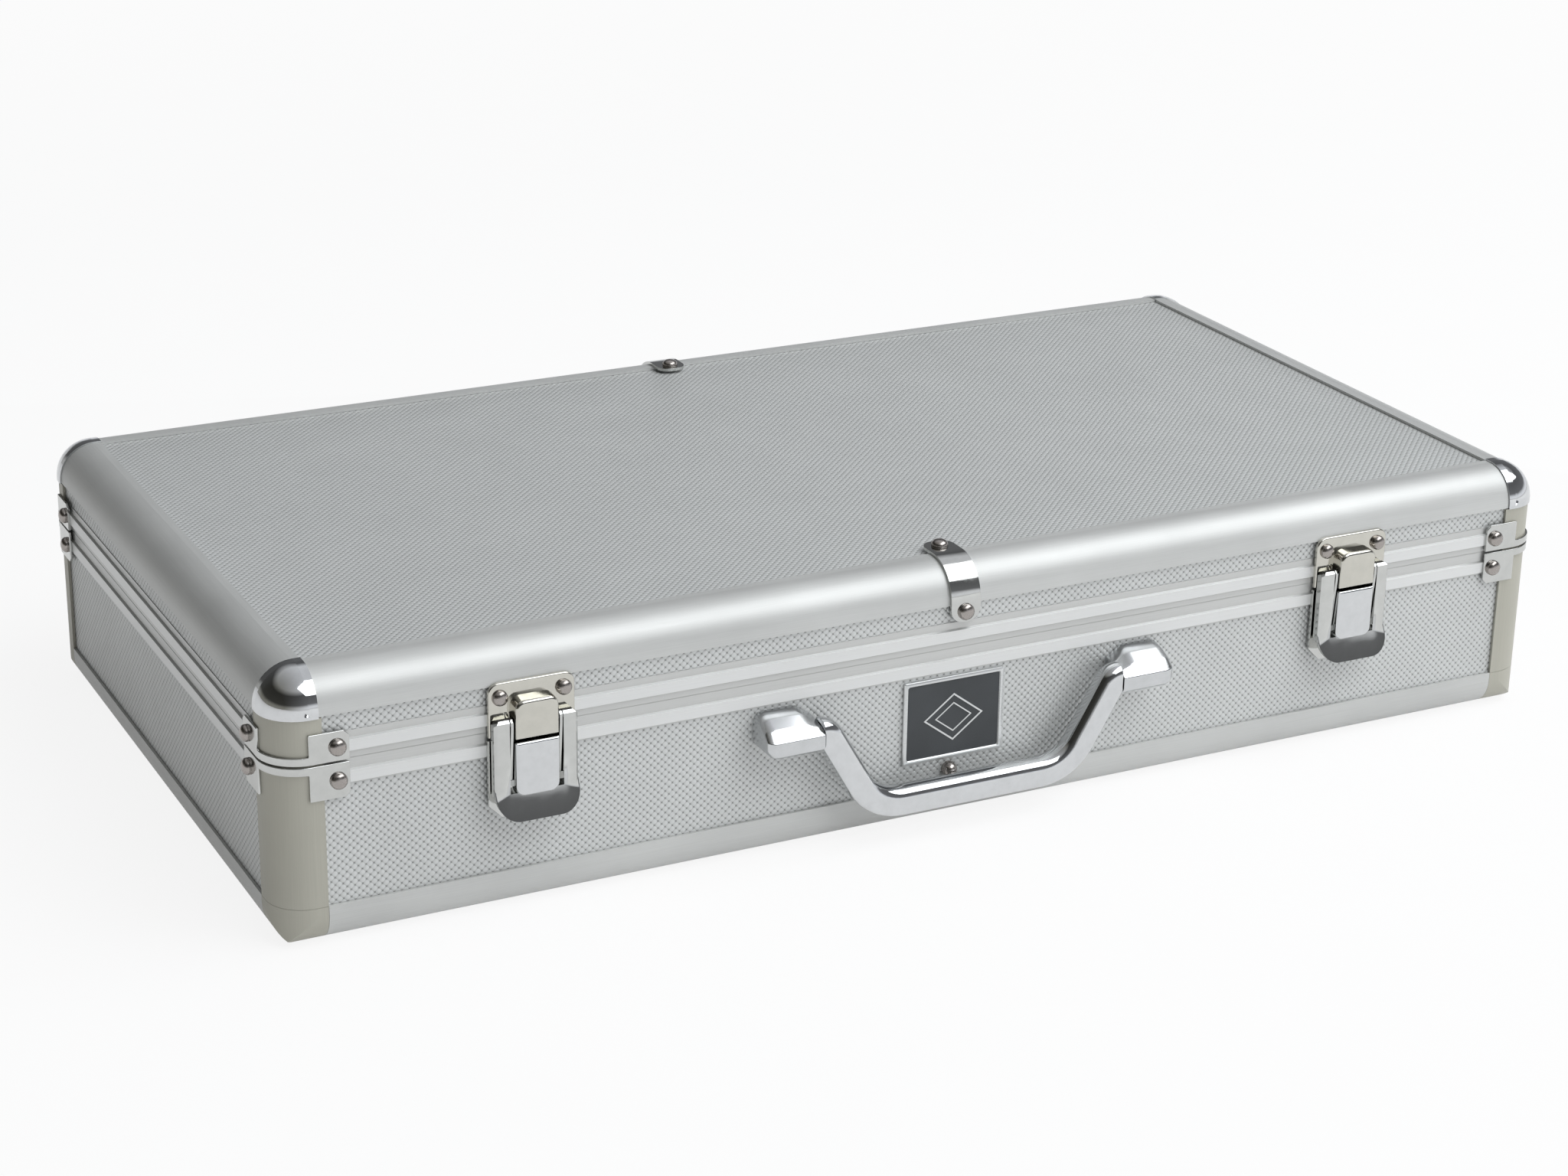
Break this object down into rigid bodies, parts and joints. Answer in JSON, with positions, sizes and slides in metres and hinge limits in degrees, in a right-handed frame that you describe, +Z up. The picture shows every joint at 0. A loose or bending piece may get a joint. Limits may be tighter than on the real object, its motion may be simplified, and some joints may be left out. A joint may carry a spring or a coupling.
{
  "type": "mahjong set",
  "caption": "Mahjong set in an aluminium carrying case with knurled panels, rounded edging, lever latches and a bail handle, holding tiles, trays and racks.",
  "frame": {"origin": "middle of the closed case's underside, on the surface that it rests on", "axes": "+X to the right along the long side as seen from the handle side, -Y towards the handle and latches, +Y towards the hinges, +Z up"},
  "size_m": [0.537, 0.3008, 0.105],
  "materials": {
    "knurled_sheet": "finely knurled sheet, clear anodised",
    "satin_edging": "satin anodised extrusion",
    "closing_frame": "bright anodised extrusion",
    "chrome": "polished chrome plating",
    "steel_pin": "plain steel pin",
    "plate_black": "near-black field with a bare metal border",
    "foot_rubber": "matt black",
    "foam": "black flocked foam",
    "tray_plastic": "matt black moulding",
    "tile_plastic": "ivory with a green back",
    "rack_plastic": "dark green moulding",
    "brass": "polished brass",
    "wind_plastic": "red moulding"
  },
  "bodies": {
    "base": {"bottom_panel": "knurled_sheet", "base_front_panel": "knurled_sheet", "base_back_panel": "knurled_sheet", "base_side_panels": "knurled_sheet", "bottom_edge_front": "satin_edging", "bottom_edge_back": "satin_edging", "bottom_edge_sides": "satin_edging", "base_corner_posts": "satin_edging", "bottom_corner_caps": "satin_edging", "base_frame_front": "closing_frame", "base_frame_back": "closing_frame", "base_frame_sides": "closing_frame", "base_corner_clamps": "chrome", "base_rivets": "chrome", "latch_base_plates": "chrome", "handle_blocks": "chrome", "handle_bumper": "chrome", "hinge_lower_leaves": "chrome", "latch_pins": "steel_pin", "handle_pins": "steel_pin", "hinge_pins": "steel_pin", "badge_plate": "plate_black", "back_feet": "foot_rubber", "foam_insert": "foam", "tile_trays": "tray_plastic", "accessory_tray": "tray_plastic", "tiles_1": "tile_plastic", "tiles_2": "tile_plastic", "tiles_3": "tile_plastic", "tiles_4": "tile_plastic", "dice": "tile_plastic", "counting_sticks": "tile_plastic", "racks": "rack_plastic", "rack_pushers": "brass", "wind_marker": "wind_plastic"},
    "lid": {"top_panel": "knurled_sheet", "lid_front_panel": "knurled_sheet", "lid_back_panel": "knurled_sheet", "lid_side_panels": "knurled_sheet", "top_edge_front": "satin_edging", "top_edge_back": "satin_edging", "top_edge_sides": "satin_edging", "ball_corners": "chrome", "lid_corner_posts": "satin_edging", "lid_frame_front": "closing_frame", "lid_frame_back": "closing_frame", "lid_frame_sides": "closing_frame", "lid_corner_clamps": "chrome", "lid_rivets": "chrome", "top_straps": "chrome", "latch_keepers": "chrome", "hinge_upper_leaves": "chrome", "lid_pad": "foam"},
    "handle": {"handle_bail": "chrome"},
    "left_latch": {"left_latch_lever": "chrome", "left_latch_hook": "chrome"},
    "right_latch": {"right_latch_lever": "chrome", "right_latch_hook": "chrome"}
  },
  "joints": [
    {"name": "lid_hinge", "type": "hinge", "parent": "base", "child": "lid", "pos_m": [0, 0.1429, 0.06935], "axis": [-1, 0, 0], "range_deg": [0, 100]},
    {"name": "handle_swing", "type": "hinge", "parent": "base", "child": "handle", "pos_m": [0, -0.1475, 0.05], "axis": [-1, 0, 0], "range_deg": [0, 100]},
    {"name": "left_latch_flip", "type": "hinge", "parent": "base", "child": "left_latch", "pos_m": [-0.1716, -0.1433, 0.0734], "axis": [-1, 0, 0], "range_deg": [0, 110]},
    {"name": "right_latch_flip", "type": "hinge", "parent": "base", "child": "right_latch", "pos_m": [0.1716, -0.1433, 0.0734], "axis": [-1, 0, 0], "range_deg": [0, 110]}
  ]
}
